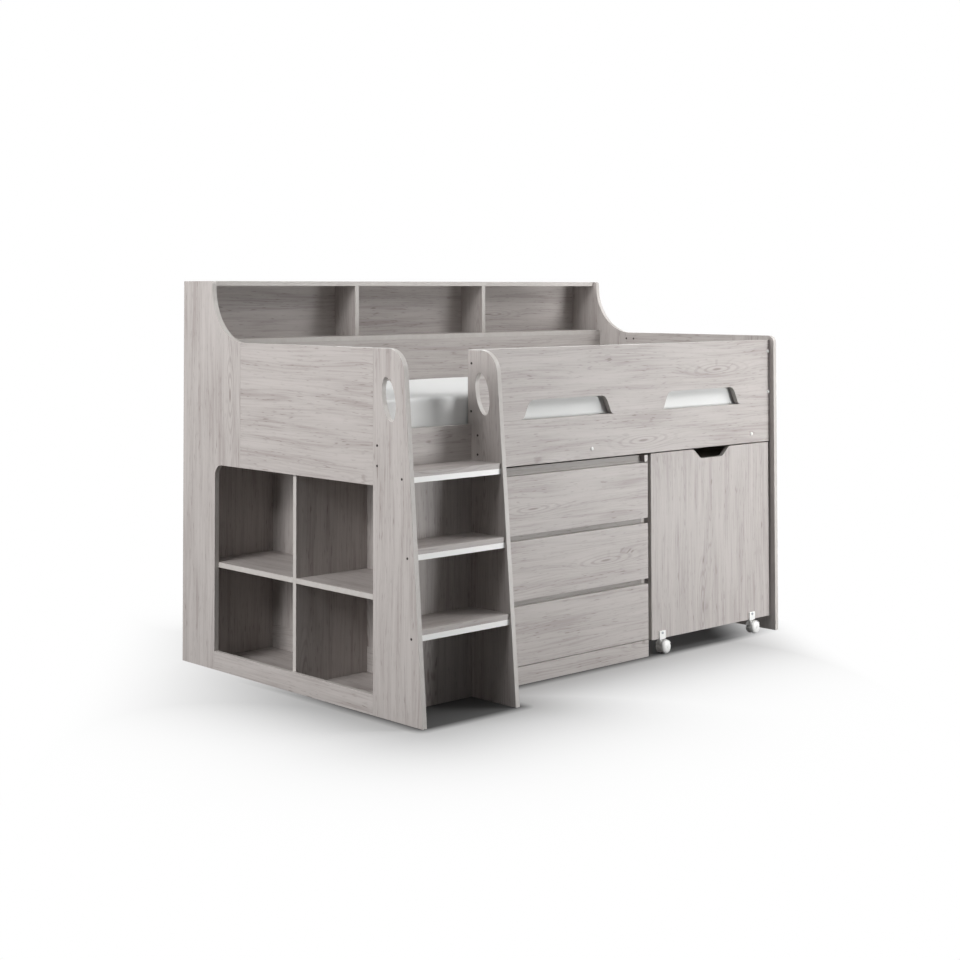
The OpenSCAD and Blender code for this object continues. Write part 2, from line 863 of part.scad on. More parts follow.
left_back_post();
left_end_panel();
left_bottom_rail();
ladder_left_side();
ladder_right_side();
ladder_treads();
tread_rails();
short_front_rail();
ladder_back_wall();
right_back_post();
right_end_panel();
right_front_post();
right_bottom_rail();
bookcase_top();
bookcase_shelf();
bookcase_back();
bookcase_dividers();
rear_guard_panel();
rear_side_rail();
lower_guard();
upper_guard();
slat_bearers();
bed_slats();
mattress();
cube_rear_side();
cube_inner_end();
cube_inner_rail_board();
cube_divider();
cube_shelves();
cube_base();
cube_top();
chest_sides();
chest_back();
chest_top();
chest_rails();
chest_plinth();
chest_runners();
desk_cleats();
screw_caps();
drawer_front(2);  // drawer_top_front
drawer_box(2);  // drawer_top_box
drawer_bottom(2);  // drawer_top_bottom
drawer_slides(2);  // drawer_top_slides
drawer_front(1);  // drawer_middle_front
drawer_box(1);  // drawer_middle_box
drawer_bottom(1);  // drawer_middle_bottom
drawer_slides(1);  // drawer_middle_slides
drawer_front(0);  // drawer_bottom_front
drawer_box(0);  // drawer_bottom_box
drawer_bottom(0);  // drawer_bottom_bottom
drawer_slides(0);  // drawer_bottom_slides
desk_top();
desk_front();
desk_aprons();
castor_brackets();
castor_fork(castor_places[0]);  // castor_left_fork
castor_wheels(castor_places[0]);  // castor_left_wheels
castor_fork(castor_places[1]);  // castor_right_fork
castor_wheels(castor_places[1]);  // castor_right_wheels
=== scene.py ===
"""Looks of a mid sleeper bed: grey oak melamine boards, a foam mattress, white castors and a plain studio."""

import logging
import math
from dataclasses import dataclass, field
from enum import Enum
from typing import Any

import bmesh
import bpy
from bpy.types import Material, Node, NodeSocket, NodeTree, Object
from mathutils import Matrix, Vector, noise


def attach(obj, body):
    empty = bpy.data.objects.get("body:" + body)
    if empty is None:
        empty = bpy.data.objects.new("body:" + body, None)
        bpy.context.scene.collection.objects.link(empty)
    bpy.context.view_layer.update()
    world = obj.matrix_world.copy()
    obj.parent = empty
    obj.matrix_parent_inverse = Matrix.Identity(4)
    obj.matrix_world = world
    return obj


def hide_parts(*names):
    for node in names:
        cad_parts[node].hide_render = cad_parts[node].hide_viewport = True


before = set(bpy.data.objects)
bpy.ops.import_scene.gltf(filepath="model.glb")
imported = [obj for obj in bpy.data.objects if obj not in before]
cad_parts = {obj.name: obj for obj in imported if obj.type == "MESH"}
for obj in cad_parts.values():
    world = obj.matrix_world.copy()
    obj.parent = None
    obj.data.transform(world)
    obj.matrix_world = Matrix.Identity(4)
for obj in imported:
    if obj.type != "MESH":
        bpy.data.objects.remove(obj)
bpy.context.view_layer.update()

MM: float = 0.001
SHARP_EDGE: float = math.radians(35)
FLAT_FACE: float = 0.7
WELD: float = 0.01 * MM
SHIFT_STEPS: tuple[int, ...] = (7, 13, 29)
SHIFT_CYCLE: int = 97
SHIFT_UNIT: float = 0.131

Colour = tuple[float, float, float, float]

log: logging.Logger = logging.getLogger("mid_sleeper")


class Axis(Enum):
    """A direction of the row frame."""

    X = 0
    Y = 1
    Z = 2


def linear(code: str) -> Colour:
    """Turns an sRGB hex colour into the linear colour that a shader takes.

    Args:
        code: The colour as six hex digits after a hash.

    Returns:
        Red, green, blue and an alpha of 1.
    """
    parts = [int(code[i:i + 2], 16) / 255 for i in (1, 3, 5)]
    curve = [c / 12.92 if c <= 0.04045 else ((c + 0.055) / 1.055) ** 2.4 for c in parts]
    return curve[0], curve[1], curve[2], 1.0


def add_node(tree: NodeTree, kind: str, settings: dict[str, Any] | None = None, **inputs: Any) -> Node:
    """Adds one node with its settings and its inputs.

    Args:
        tree: The node tree that gets the node.
        kind: The node's type name.
        settings: Attributes of the node itself.
        **inputs: Input names, with underscores for spaces, and a value or an output socket for each. A name
            that ends in a number of its own, such as input_1, is that input's place.

    Returns:
        The new node.
    """
    node = tree.nodes.new(kind)
    for name, value in (settings or {}).items():
        setattr(node, name, value)
    for name, value in inputs.items():
        socket = node.inputs[int(name[6:])] if name.startswith("input_") else node.inputs[name.replace("_", " ")]
        if isinstance(value, NodeSocket):
            tree.links.new(value, socket)
        else:
            socket.default_value = value
    return node


def new_material(name: str, **inputs: Any) -> tuple[Material, NodeTree, Node]:
    """Makes a material with a principled shader.

    Args:
        name: The finish's name.
        **inputs: The shader's values that are the same all over the surface, named as in add_node.

    Returns:
        The material, its node tree and its principled shader.
    """
    material = bpy.data.materials.new(name)
    material.use_nodes = True
    tree = material.node_tree
    tree.nodes.clear()
    shader = add_node(tree, "ShaderNodeBsdfPrincipled", **inputs)
    add_node(tree, "ShaderNodeOutputMaterial", Surface=shader.outputs["BSDF"])
    return material, tree, shader


def tint(tree: NodeTree, under: NodeSocket | Colour, colour: str, pattern: NodeSocket, ends: tuple[float, float],
         most: NodeSocket | float = 1.0) -> NodeSocket:
    """Lays a colour over another where a pattern's value goes from one end to the other.

    Args:
        tree: The node tree.
        under: The colour so far, as an output or a linear colour.
        colour: The colour that is laid over it, as sRGB hex digits.
        pattern: The pattern's value.
        ends: The values at which the colour starts and is full.
        most: The most that it covers.

    Returns:
        The colour output.
    """
    share = add_node(tree, "ShaderNodeMapRange", Value=pattern, From_Min=ends[0], From_Max=ends[1], To_Max=most)
    return add_node(tree, "ShaderNodeMix", {"data_type": "RGBA"}, input_0=share.outputs["Result"], input_6=under,
                    input_7=linear(colour)).outputs[2]


@dataclass(frozen=True)
class OakMelamine:
    """Particle board faced with printed melamine paper in grey oak, pressed with a shallow wood grain.

    The print is of flat-sawn oak: growth lines run along the board, wander, and close into long eyes and
    cathedrals; short dark pores lie along them, broad shaded flames cross the board, and the lines swirl
    round a few small knots. The press plate gives a dull satin sheen. Sizes are in millimetres on the board,
    and a knot's reach, rings and eye are shares of the knots' spacing. Real pores are about 0.3 mm wide, too
    fine to show, so the ticks are drawn coarser.
    """

    name: str
    grain: Axis
    pale: str = "#b1aba8"
    body: str = "#a8a29f"
    shade: str = "#978f8c"
    dark: str = "#645852"
    wander_width: float = 70.0
    wander_length: float = 520.0
    wander_reach: float = 40.0
    line_width: float = 6.0
    line_length: float = 250.0
    pore_width: float = 4.4
    pore_length: float = 50.0
    flame_width: float = 36.0
    flame_length: float = 480.0
    knot_spacing: float = 260.0
    knot_stretch: float = 6.5
    knot_reach: float = 0.17
    knot_swirl: float = 30.0
    ring_step: float = 0.034
    ring_crest: tuple[float, float] = (0.1, 0.9)
    ring_share: float = 0.36
    eye: tuple[float, float] = (0.022, 0.0)
    eye_share: float = 0.6
    flame_body: tuple[float, float] = (0.14, 0.45)
    flame_pale: tuple[float, float] = (0.45, 0.74)
    flame_dark: tuple[float, float] = (0.60, 0.36)
    quiet: float = 0.35
    line_dark: tuple[float, float] = (0.49, 0.28)
    line_pale: tuple[float, float] = (0.52, 0.70)
    line_pale_share: float = 0.6
    pore_dark: tuple[float, float] = (0.35, 0.22)
    pore_share: float = 0.6
    roughness: float = 0.52
    ior: float = 1.5
    press_depth: float = 0.25 * MM
    press_strength: float = 0.12

    def grain_space(self, tree: NodeTree) -> NodeSocket:
        """Board coordinates in millimetres with the grain along X, shifted by each board's own amount.

        Args:
            tree: The node tree.

        Returns:
            The vector output.
        """
        place = add_node(tree, "ShaderNodeTexCoord").outputs["Object"]
        shift = add_node(tree, "ShaderNodeAttribute",
                         {"attribute_type": "OBJECT", "attribute_name": "grain_shift"}).outputs["Vector"]
        moved = add_node(tree, "ShaderNodeVectorMath", {"operation": "ADD"}, input_0=place, input_1=shift)
        split = add_node(tree, "ShaderNodeSeparateXYZ", Vector=moved.outputs["Vector"]).outputs
        order = {Axis.X: (0, 1, 2), Axis.Y: (1, 0, 2), Axis.Z: (2, 1, 0)}[self.grain]
        turned = add_node(tree, "ShaderNodeCombineXYZ", X=split[order[0]], Y=split[order[1]], Z=split[order[2]])
        return add_node(tree, "ShaderNodeVectorMath", {"operation": "SCALE"}, input_0=turned.outputs["Vector"],
                        Scale=1 / MM).outputs["Vector"]

    def bend(self, tree: NodeTree, space: NodeSocket) -> tuple[NodeSocket, NodeSocket]:
        """Lets the print wander: the place along the grain, and across it with a slow drift.

        Args:
            tree: The node tree.
            space: Coordinates in millimetres, grain along X.

        Returns:
            The place along the grain and the place across it, both in millimetres.
        """
        slow = add_node(tree, "ShaderNodeMapping", Vector=space,
                        Scale=(1 / self.wander_length, 1 / self.wander_width, 1 / self.wander_width))
        hills = add_node(tree, "ShaderNodeTexNoise", Vector=slow.outputs["Vector"], Scale=1.0, Detail=1.5,
                         Roughness=0.35)
        rise = add_node(tree, "ShaderNodeMath", {"operation": "MULTIPLY"}, input_0=hills.outputs["Fac"],
                        input_1=self.wander_reach)
        part = add_node(tree, "ShaderNodeSeparateXYZ", Vector=space).outputs
        flat = add_node(tree, "ShaderNodeMath", {"operation": "ADD"}, input_0=part["Y"], input_1=part["Z"])
        bent = add_node(tree, "ShaderNodeMath", {"operation": "ADD"}, input_0=flat.outputs[0],
                        input_1=rise.outputs[0])
        return part["X"], bent.outputs[0]

    def knots(self, tree: NodeTree, lines: tuple[NodeSocket, NodeSocket]) -> NodeSocket:
        """Distance to the nearest knot, in cells that are longer along the grain.

        Args:
            tree: The node tree.
            lines: The place along the grain and across it, in millimetres.

        Returns:
            The distance, 0 in a knot's middle.
        """
        along = add_node(tree, "ShaderNodeMath", {"operation": "DIVIDE"}, input_0=lines[0],
                         input_1=self.knot_spacing * self.knot_stretch)
        across = add_node(tree, "ShaderNodeMath", {"operation": "DIVIDE"}, input_0=lines[1],
                          input_1=self.knot_spacing)
        cells = add_node(tree, "ShaderNodeCombineXYZ", X=along.outputs[0], Y=across.outputs[0])
        return add_node(tree, "ShaderNodeTexVoronoi", {"feature": "F1", "voronoi_dimensions": "2D"},
                        Vector=cells.outputs["Vector"], Scale=1.0).outputs["Distance"]

    def near_knot(self, tree: NodeTree, knot: NodeSocket, most: float) -> NodeSocket:
        """A smooth hill over each knot.

        Args:
            tree: The node tree.
            knot: Distance to the nearest knot.
            most: The hill's height.

        Returns:
            The height, 0 beyond the knot's reach.
        """
        return add_node(tree, "ShaderNodeMapRange", {"interpolation_type": "SMOOTHSTEP"}, Value=knot,
                        From_Min=self.knot_reach, From_Max=0.0, To_Max=most).outputs["Result"]

    def rings(self, tree: NodeTree, knot: NodeSocket) -> NodeSocket:
        """A wave that runs outwards from each knot, for the nested rings of its eye.

        Args:
            tree: The node tree.
            knot: Distance to the nearest knot.

        Returns:
            The wave, from -1 to 1.
        """
        turn = add_node(tree, "ShaderNodeMath", {"operation": "MULTIPLY"}, input_0=knot,
                        input_1=math.tau / self.ring_step)
        return add_node(tree, "ShaderNodeMath", {"operation": "SINE"}, input_0=turn.outputs[0]).outputs[0]

    def layer(self, tree: NodeTree, lines: tuple[NodeSocket, NodeSocket],
              width: float, length: float, detail: float) -> NodeSocket:
        """One noise layer that lies along the growth lines.

        Args:
            tree: The node tree.
            lines: The place along the grain and across the lines, in millimetres.
            width: Size across the lines, in millimetres.
            length: Size along the grain, in millimetres.
            detail: Octaves of the noise.

        Returns:
            The factor output.
        """
        along = add_node(tree, "ShaderNodeMath", {"operation": "DIVIDE"}, input_0=lines[0], input_1=length)
        across = add_node(tree, "ShaderNodeMath", {"operation": "DIVIDE"}, input_0=lines[1], input_1=width)
        laid = add_node(tree, "ShaderNodeCombineXYZ", X=along.outputs[0], Y=across.outputs[0])
        return add_node(tree, "ShaderNodeTexNoise", {"noise_dimensions": "2D"}, Vector=laid.outputs["Vector"],
                        Scale=1.0, Detail=detail, Roughness=0.5).outputs["Fac"]

    def in_flames(self, tree: NodeTree, flames: NodeSocket, most: float) -> NodeSocket:
        """How strongly the print is drawn: in full in the shaded flames and quietly between them.

        Args:
            tree: The node tree.
            flames: The flames' noise.
            most: The strength in the shaded flames.

        Returns:
            The strength.
        """
        return add_node(tree, "ShaderNodeMapRange", Value=flames, From_Min=self.flame_dark[0],
                        From_Max=self.flame_dark[1], To_Min=most * self.quiet, To_Max=most).outputs["Result"]

    def build(self) -> Material:
        """Makes the material.

        Returns:
            The material.
        """
        material, tree, shader = new_material(self.name, Roughness=self.roughness, IOR=self.ior)
        along, across = self.bend(tree, self.grain_space(tree))
        knot = self.knots(tree, (along, across))
        swirl = add_node(tree, "ShaderNodeMath", {"operation": "ADD"}, input_0=across,
                         input_1=self.near_knot(tree, knot, self.knot_swirl))
        lines = (along, swirl.outputs[0])
        growth = self.layer(tree, lines, self.line_width, self.line_length, 2.0)
        pores = self.layer(tree, lines, self.pore_width, self.pore_length, 1.0)
        flames = self.layer(tree, lines, self.flame_width, self.flame_length, 2.0)
        # Broad flames of pale and shaded wood
        tone = tint(tree, linear(self.shade), self.body, flames, self.flame_body)
        tone = tint(tree, tone, self.pale, flames, self.flame_pale)
        # Growth lines: thin darker lines, strong in the shaded flames, and paler wood between them
        tone = tint(tree, tone, self.shade, growth, self.line_dark, self.in_flames(tree, flames, 1.0))
        tone = tint(tree, tone, self.pale, growth, self.line_pale, self.line_pale_share)
        # Pores: short dark ticks, thickest in the shaded flames
        tone = tint(tree, tone, self.dark, pores, self.pore_dark, self.in_flames(tree, flames, self.pore_share))
        # Nested rings and a dark eye in each knot
        tone = tint(tree, tone, self.dark, self.rings(tree, knot), self.ring_crest,
                    self.near_knot(tree, knot, self.ring_share))
        tone = tint(tree, tone, self.dark, knot, self.eye, self.eye_share)
        relief = add_node(tree, "ShaderNodeBump", Height=pores, Strength=self.press_strength, Distance=self.press_depth)
        tree.links.new(tone, shader.inputs["Base Color"])
        tree.links.new(relief.outputs["Normal"], shader.inputs["Normal"])
        return material


@dataclass(frozen=True)
class AbsEdgeBand:
    """ABS edging glued round the boards, printed pale oak. It reads as a lighter, almost plain line."""

    name: str = "abs_edge_band"
    pale: str = "#b7b3af"
    body: str = "#b2ada9"
    streak: float = 24.0
    ends: tuple[float, float] = (0.35, 0.65)
    roughness: float = 0.45
    ior: float = 1.5

    def build(self) -> Material:
        """Makes the material.

        Returns:
            The material.
        """
        material, tree, shader = new_material(self.name, Roughness=self.roughness, IOR=self.ior)
        place = add_node(tree, "ShaderNodeTexCoord").outputs["Object"]
        mottle = add_node(tree, "ShaderNodeTexNoise", Vector=place, Scale=1 / (self.streak * MM), Detail=2.0)
        tone = tint(tree, linear(self.body), self.pale, mottle.outputs["Fac"], self.ends)
        tree.links.new(tone, shader.inputs["Base Color"])
        return material


@dataclass(frozen=True)
class PlainFinish:
    """A plain finish of one colour, such as moulded plastic, lacquer or zinc plate."""

    name: str
    colour: str
    roughness: float
    metallic: float = 0.0
    ior: float = 1.5
    grit: float = 0.0
    grit_depth: float = 0.1 * MM
    grit_strength: float = 0.08

    def build(self) -> Material:
        """Makes the material, with a fine moulded texture where it has a grit.

        Returns:
            The material.
        """
        material, tree, shader = new_material(self.name, Base_Color=linear(self.colour), IOR=self.ior,
                                              Roughness=self.roughness, Metallic=self.metallic)
        if self.grit:
            place = add_node(tree, "ShaderNodeTexCoord").outputs["Object"]
            grain = add_node(tree, "ShaderNodeTexNoise", Vector=place, Scale=1 / (self.grit * MM), Detail=1.0)
            relief = add_node(tree, "ShaderNodeBump", Height=grain.outputs["Fac"], Strength=self.grit_strength,
                              Distance=self.grit_depth)
            tree.links.new(relief.outputs["Normal"], shader.inputs["Normal"])
        return material


@dataclass(frozen=True)
class SpruceWood:
    """Planed spruce, as sawn for slats and battens: warm pale yellow with soft darker growth rings.

    The real rings are 2 to 3 mm apart and are drawn at 7 mm to show.
    """

    name: str
    grain: Axis
    pale: str = "#e2cfa6"
    dark: str = "#c9ab78"
    ring: float = 7.0
    ring_stretch: float = 40.0
    ends: tuple[float, float] = (0.35, 0.6)
    roughness: float = 0.6

    def build(self) -> Material:
        """Makes the material.

        Returns:
            The material.
        """
        material, tree, shader = new_material(self.name, Roughness=self.roughness)
        place = add_node(tree, "ShaderNodeTexCoord").outputs["Object"]
        fine, long = 1 / (self.ring * MM), 1 / (self.ring_stretch * self.ring * MM)
        scale = {Axis.X: (long, fine, fine), Axis.Y: (fine, long, fine), Axis.Z: (fine, fine, long)}[self.grain]
        laid = add_node(tree, "ShaderNodeMapping", Vector=place, Scale=scale)
        rings = add_node(tree, "ShaderNodeTexNoise", Vector=laid.outputs["Vector"], Scale=1.0, Detail=3.0)
        tone = tint(tree, linear(self.dark), self.pale, rings.outputs["Fac"], self.ends)
        tree.links.new(tone, shader.inputs["Base Color"])
        return material


@dataclass(frozen=True)
class KnittedCover:
    """A knitted polyester mattress cover: matt white, with a soft sheen at glancing angles.

    The real loops are about 1.5 mm and too fine to show, so they are drawn at 5 mm, only as relief.
    """

    name: str = "knitted_mattress_cover"
    colour: str = "#dddedd"
    loop: float = 5.0
    loop_depth: float = 0.4 * MM
    loop_strength: float = 0.25
    roughness: float = 0.9
    sheen: float = 0.2
    sheen_roughness: float = 0.5

    def build(self) -> Material:
        """Makes the material.

        Returns:
            The material.
        """
        material, tree, shader = new_material(self.name, Base_Color=linear(self.colour), Roughness=self.roughness,
                                              Sheen_Weight=self.sheen, Sheen_Roughness=self.sheen_roughness)
        place = add_node(tree, "ShaderNodeTexCoord").outputs["Object"]
        loops = add_node(tree, "ShaderNodeTexVoronoi", Vector=place, Scale=1 / (self.loop * MM))
        relief = add_node(tree, "ShaderNodeBump", Height=loops.outputs["Distance"], Strength=self.loop_strength,
                          Distance=self.loop_depth)
        tree.links.new(relief.outputs["Normal"], shader.inputs["Normal"])
        return material


@dataclass(frozen=True)
class Finishes:
    """Every finish of the bed, built once."""

    oak: dict[Axis, Material]
    # The darker print of painted shade, for boards that lie in shadow
    deep_oak: Material
    band: Material
    lacquer: Material
    plastic: Material
    wheel: Material
    zinc: Material
    black_screw: Material
    spruce: dict[Axis, Material]
    cover: Material

    @classmethod
    def build(cls) -> "Finishes":
        """Builds the finishes.

        Returns:
            The bed's finishes.
        """
        return cls(
            oak={axis: OakMelamine(f"grey_oak_melamine_{axis.name.lower()}", axis).build() for axis in Axis},
            # The rails behind the finger gaps and the chest's top get a darker print: painted shade for the shadow they
            # lie in behind the drawer fronts and under the lower guard
            deep_oak=OakMelamine("grey_oak_melamine_painted_shade", Axis.X, pale="#94908c", body="#8b8682", shade="#7d7772",
                                 dark="#534b44").build(),
            band=AbsEdgeBand().build(),
            # White lacquered batten: bright and smooth, a plain line under each tread
            lacquer=PlainFinish("white_lacquered_batten", "#eeeeec", 0.4).build(),
            # Moulded polypropylene: soft white with an eggshell. Its grit of 0.1 mm is drawn at 0.8 mm to show
            plastic=PlainFinish("moulded_white_polypropylene", "#e9e9e7", 0.38, ior=1.49, grit=0.8).build(),
            # Nylon wheels: a little greyer than their brackets
            wheel=PlainFinish("moulded_white_nylon", "#e4e4e2", 0.35, ior=1.53).build(),
            # Zinc plated steel: dull grey metal in runners and screw heads
            zinc=PlainFinish("zinc_plated_steel", "#a2a6a9", 0.42, metallic=0.6).build(),
            # Blackened socket screws: dark, with a dull shine on the rim
            black_screw=PlainFinish("blackened_socket_screw", "#35302e", 0.45, metallic=0.5).build(),
            spruce={axis: SpruceWood(f"planed_spruce_{axis.name.lower()}", axis).build() for axis in Axis},
            cover=KnittedCover().build(),
        )


@dataclass(frozen=True)
class Board:
    """One CAD node of melamine board: which way its print runs and which way the board is thin."""

    node: str
    grain: Axis
    thin: Axis | None = None
    # Whether the board takes the darker print that paints in the shade it lies in
    deep: bool = False


@dataclass
class BoardWork:
    """A sub-assembly of melamine boards, dressed with print on their faces and edging round them."""

    name: str
    boards: tuple[Board, ...]
    edge_round: float = 0.9 * MM

    def dress(self, finishes: Finishes) -> None:
        """Gives each board its print, edging, shift and softened edges.

        Args:
            finishes: The bed's finishes.
        """
        for board in self.boards:
            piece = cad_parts[board.node]
            # A board in shade gets the darker print, painted shade, on its faces and its edges alike
            coat(piece, [finishes.deep_oak] * 2 if board.deep else [finishes.oak[board.grain], finishes.band])
            if board.thin is not None:
                for face in piece.data.polygons:
                    face.material_index = 0 if abs(face.normal[board.thin.value]) > FLAT_FACE else 1
            piece["grain_shift"] = grain_shift(board.node)
            soften(piece, self.edge_round)
            log.info("%s: %s", self.name, board.node)


def grain_shift(name: str) -> list[float]:
    """A shift of the print that differs from board to board and is the same on every run.

    Args:
        name: The board's name.

    Returns:
        Three lengths in metres.
    """
    seed = sum((i + 1) * ord(letter) for i, letter in enumerate(name))
    return [(seed * step % SHIFT_CYCLE) * SHIFT_UNIT for step in SHIFT_STEPS]


def coat(piece: Object, materials: list[Material]) -> None:
    """Replaces a piece's materials.

    Args:
        piece: The object.
        materials: Its new materials, the first one on every face.
    """
    piece.data.materials.clear()
    for material in materials:
        piece.data.materials.append(material)
    for face in piece.data.polygons:
        face.material_index = 0


def soften(piece: Object, radius: float) -> None:
    """Rounds the sharp edges of a rigid piece for the light to catch, without moving its mesh.

    Args:
        piece: The object.
        radius: The rounding, in metres.
    """
    mesh = piece.data
    if "custom_normal" in mesh.attributes:
        mesh.attributes.remove(mesh.attributes["custom_normal"])
    for face in mesh.polygons:
        face.use_smooth = True
    weld = piece.modifiers.new("weld", "WELD")
    weld.merge_threshold = WELD
    bevel = piece.modifiers.new("edge_round", "BEVEL")
    bevel.width = radius
    bevel.segments = 2
    bevel.limit_method = "ANGLE"
    bevel.angle_limit = SHARP_EDGE
    bevel.harden_normals = True
    bevel.use_clamp_overlap = True


def dress_piece(owner: str, node: str, finish: Material, radius: float) -> None:
    """Gives one rigid piece a single finish and softened edges.

    Args:
        owner: The sub-assembly's name.
        node: The piece's CAD node.
        finish: Its material.
        radius: The rounding of its edges, in metres.
    """
    coat(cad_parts[node], [finish])
    soften(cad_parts[node], radius)
    log.info("%s: %s", owner, node)


@dataclass
class EndBoards(BoardWork):
    """The two ends: posts, panels and bottom rails."""

    name: str = "end boards"
    boards: tuple[Board, ...] = (
        Board("left_back_post", Axis.Z, Axis.X), Board("left_end_panel", Axis.Y, Axis.X),
        Board("left_bottom_rail", Axis.Y, Axis.X), Board("right_back_post", Axis.Z, Axis.X),
        Board("right_end_panel", Axis.Y, Axis.X), Board("right_front_post", Axis.Z, Axis.X),
        Board("right_bottom_rail", Axis.Y, Axis.X))


@dataclass
class Bookcase(BoardWork):
    """The bookcase over the mattress and the rear guard under it."""

    name: str = "bookcase"
    boards: tuple[Board, ...] = (
        Board("bookcase_top", Axis.X, Axis.Z), Board("bookcase_shelf", Axis.X, Axis.Z),
        Board("bookcase_back", Axis.X, Axis.Y), Board("bookcase_dividers", Axis.Z, Axis.X),
        Board("rear_guard_panel", Axis.X, Axis.Y), Board("rear_side_rail", Axis.X, Axis.Y))


@dataclass
class FrontGuards(BoardWork):
    """The two guard boards along the front."""

    name: str = "front guards"
    boards: tuple[Board, ...] = (Board("upper_guard", Axis.X, Axis.Y), Board("lower_guard", Axis.X, Axis.Y))


@dataclass
class CubeStorage(BoardWork):
    """The open cubes inside the left end."""

    name: str = "cube storage"
    boards: tuple[Board, ...] = (
        Board("cube_rear_side", Axis.Z, Axis.Y), Board("cube_inner_end", Axis.Z, Axis.X),
        Board("cube_inner_rail_board", Axis.Y, Axis.X), Board("cube_divider", Axis.Z, Axis.Y),
        Board("cube_shelves", Axis.Y, Axis.Z), Board("cube_base", Axis.Y, Axis.Z),
        Board("cube_top", Axis.Y, Axis.Z))


@dataclass
class Ladder(BoardWork):
    """The ladder: two sides, three board treads and the white batten under each."""

    name: str = "ladder"
    boards: tuple[Board, ...] = (
        Board("ladder_left_side", Axis.Z, Axis.X), Board("ladder_right_side", Axis.Z, Axis.X),
        Board("ladder_treads", Axis.X), Board("short_front_rail", Axis.X, Axis.Y),
        Board("ladder_back_wall", Axis.Z, Axis.Y))
    batten_round: float = 1.0 * MM

    def dress(self, finishes: Finishes) -> None:
        """Dresses the sides and treads and lacquers the battens.

        Args:
            finishes: The bed's finishes.
        """
        super().dress(finishes)
        dress_piece(self.name, "tread_rails", finishes.lacquer, self.batten_round)


@dataclass
class SlatBase:
    """The slats and the bearers that carry them."""

    name: str = "slat base"
    slat_round: float = 1.5 * MM

    def dress(self, finishes: Finishes) -> None:
        """Gives the slats and bearers their planed spruce.

        Args:
            finishes: The bed's finishes.
        """
        for node, grain in (("bed_slats", Axis.Y), ("slat_bearers", Axis.X)):
            dress_piece(self.name, node, finishes.spruce[grain], self.slat_round)


@dataclass
class Chest(BoardWork):
    """The chest: carcass, runners and three drawers."""

    name: str = "chest"
    boards: tuple[Board, ...] = (
        Board("chest_sides", Axis.Z, Axis.X), Board("chest_back", Axis.Z),
        # The top and the rails lie in shadow and take the darker print of painted shade
        Board("chest_top", Axis.X, Axis.Z, deep=True), Board("chest_rails", Axis.X, Axis.Y, deep=True),
        Board("chest_plinth", Axis.X, Axis.Y))
    levels: tuple[str, ...] = ("top", "middle", "bottom")
    steel_round: float = 0.3 * MM

    def drawer(self, level: str) -> BoardWork:
        """The boards of one drawer.

        Args:
            level: Which drawer, such as top.

        Returns:
            Its front, box and bottom.
        """
        return BoardWork(f"{level} drawer", (
            Board(f"drawer_{level}_front", Axis.X, Axis.Y), Board(f"drawer_{level}_box", Axis.Y, Axis.X),
            Board(f"drawer_{level}_bottom", Axis.X)))

    def dress(self, finishes: Finishes) -> None:
        """Dresses carcass, drawers and steel.

        Args:
            finishes: The bed's finishes.
        """
        super().dress(finishes)
        dress_piece(self.name, "chest_runners", finishes.zinc, self.steel_round)
        for level in self.levels:
            self.drawer(level).dress(finishes)
            dress_piece(self.name, f"drawer_{level}_slides", finishes.zinc, self.steel_round)


@dataclass
class Desk(BoardWork):
    """The pull-out desk with its cleats and two castors, and the guards' screw caps in the same plastic."""

    name: str = "desk"
    boards: tuple[Board, ...] = (
        Board("desk_top", Axis.X, Axis.Z), Board("desk_front", Axis.Z, Axis.Y), Board("desk_aprons", Axis.X),
        Board("desk_cleats", Axis.Y))
    plastic: tuple[str, ...] = ("castor_brackets", "castor_left_fork", "castor_right_fork", "screw_caps")
    wheels: tuple[str, ...] = ("castor_left_wheels", "castor_right_wheels")
    plastic_round: float = 0.6 * MM
    wheel_round: float = 0.9 * MM

    def dress(self, finishes: Finishes) -> None:
        """Dresses the desk's boards and its castors.

        Args:
            finishes: The bed's finishes.
        """
        super().dress(finishes)
        for node in self.plastic:
            dress_piece(self.name, node, finishes.plastic, self.plastic_round)
        for node in self.wheels:
            dress_piece(self.name, node, finishes.wheel, self.wheel_round)


@dataclass(frozen=True)
class SocketHead:
    """The low round head of a screw, with a hexagon socket."""

    radius: float = 4.2 * MM
    height: float = 1.2 * MM
    rim: float = 0.5 * MM
    socket: float = 2.1 * MM
    socket_floor: float = 0.3 * MM
    steps: int = 24

    def ring(self, radius: float, height: float, hexagon: bool = False) -> list[Vector]:
        """One ring of the head.

        Args:
            radius: The ring's radius, or half the hexagon's width over its flats.
            height: Its height over the board.
            hexagon: Whether it follows the socket.

        Returns:
            Its points.
        """
        points = []
        for i in range(self.steps):
            angle = math.tau * i / self.steps
            flat = (angle + math.pi / 6) % (math.pi / 3) - math.pi / 6
            reach = radius / math.cos(flat) if hexagon else radius
            points.append(Vector((reach * math.cos(angle), reach * math.sin(angle), height)))
        return points

    def add(self, work: bmesh.types.BMesh, place: Vector, out: Vector) -> None:
        """Adds one head.

        Args:
            work: The mesh that gets it.
            place: The middle of its seat, in metres.
            out: The direction that it faces.
        """
        turn = out.to_track_quat("Z", "Y")
        rings = [self.ring(self.radius, 0.0), self.ring(self.radius, self.height - self.rim),
                 self.ring(self.radius - self.rim, self.height), self.ring(self.socket, self.height, True),
                 self.ring(self.socket, self.socket_floor, True)]
        rows = [[work.verts.new(place + turn @ point) for point in ring] for ring in rings]
        for low, high in zip(rows, rows[1:]):
            for i in range(self.steps):
                j = (i + 1) % self.steps
                work.faces.new((low[i], low[j], high[j], high[i]))
        work.faces.new(rows[-1])
        work.faces.new(rows[0][::-1])


